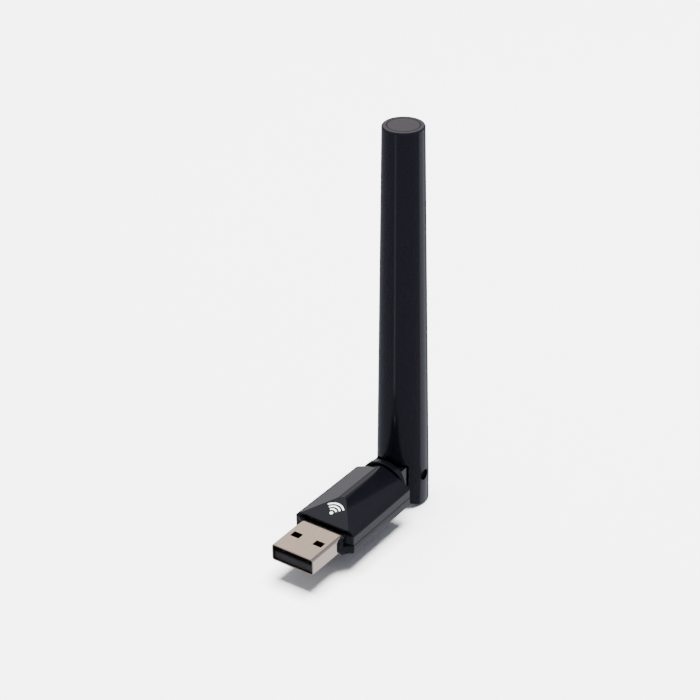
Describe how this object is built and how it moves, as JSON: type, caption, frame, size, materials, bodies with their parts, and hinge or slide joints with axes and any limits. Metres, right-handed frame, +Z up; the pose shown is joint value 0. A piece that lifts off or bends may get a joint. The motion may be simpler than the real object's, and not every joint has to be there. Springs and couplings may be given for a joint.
{
  "type": "usb wifi adapter",
  "caption": "Stub-bodied USB wireless adapter: a metal plug, a two-shell faceted case, and a tapered round antenna on a swivel and fold hinge.",
  "frame": {"origin": "centre of the plug's open front end", "axes": "+Y from the plug back through the case to the hinge, +X to the right seen looking along +Y, +Z up along the standing antenna"},
  "size_m": [0.0172, 0.0528, 0.1018],
  "materials": {
    "plug_metal": "satin nickel-plated steel sheet",
    "black_insulator": "moulded black insulator",
    "gold_contacts": "gold flash over copper alloy",
    "gloss_black_case": "polished black moulding",
    "gloss_black_swivel": "polished black moulding",
    "gloss_black_rod": "smooth black moulding",
    "board_laminate": "green solder mask over glass-epoxy",
    "chip_epoxy": "black mould compound",
    "crystal_can": "stamped metal lid",
    "inductor_ferrite": "grey ferrite",
    "ceramic_tan": "fired ceramic with tinned ends",
    "solder": "bright solder",
    "pin_steel": "black-oxide steel",
    "coax_jacket": "thin fluoropolymer jacket",
    "brass_sleeve": "drawn brass",
    "white_insulator": "white polyethylene",
    "foam": "closed-cell foam"
  },
  "bodies": {
    "plug_body": {"usb_shell": "plug_metal", "usb_tongue": "black_insulator", "usb_contacts": "gold_contacts", "upper_case": "gloss_black_case", "lower_case": "gloss_black_case", "circuit_board": "board_laminate", "wifi_chip": "chip_epoxy", "crystal": "crystal_can", "voltage_regulator": "chip_epoxy", "power_inductor": "inductor_ferrite", "ceramic_capacitors": "ceramic_tan", "chip_resistors": "chip_epoxy", "antenna_filter_parts": "ceramic_tan", "solder_joints": "solder"},
    "swivel": {"swivel_knuckle": "gloss_black_swivel", "hinge_pins": "pin_steel", "coax_lead": "coax_jacket"},
    "antenna": {"antenna_sleeve": "gloss_black_rod", "antenna_cap": "gloss_black_rod", "choke_sleeve": "brass_sleeve", "feed_insulator": "white_insulator", "radiator_rod": "brass_sleeve", "lower_spacer": "foam", "upper_spacer": "foam"}
  },
  "joints": [
    {"name": "antenna_swivel", "type": "hinge", "parent": "plug_body", "child": "swivel", "pos_m": [0, 0.0371, 0.00085], "axis": [0, 1, 0], "range_deg": [-90, 90]},
    {"name": "antenna_fold", "type": "hinge", "parent": "swivel", "child": "antenna", "pos_m": [0, 0.0464, 0.00085], "axis": [-1, 0, 0], "range_deg": [0, 90], "deforming": ["coax_lead"]}
  ]
}
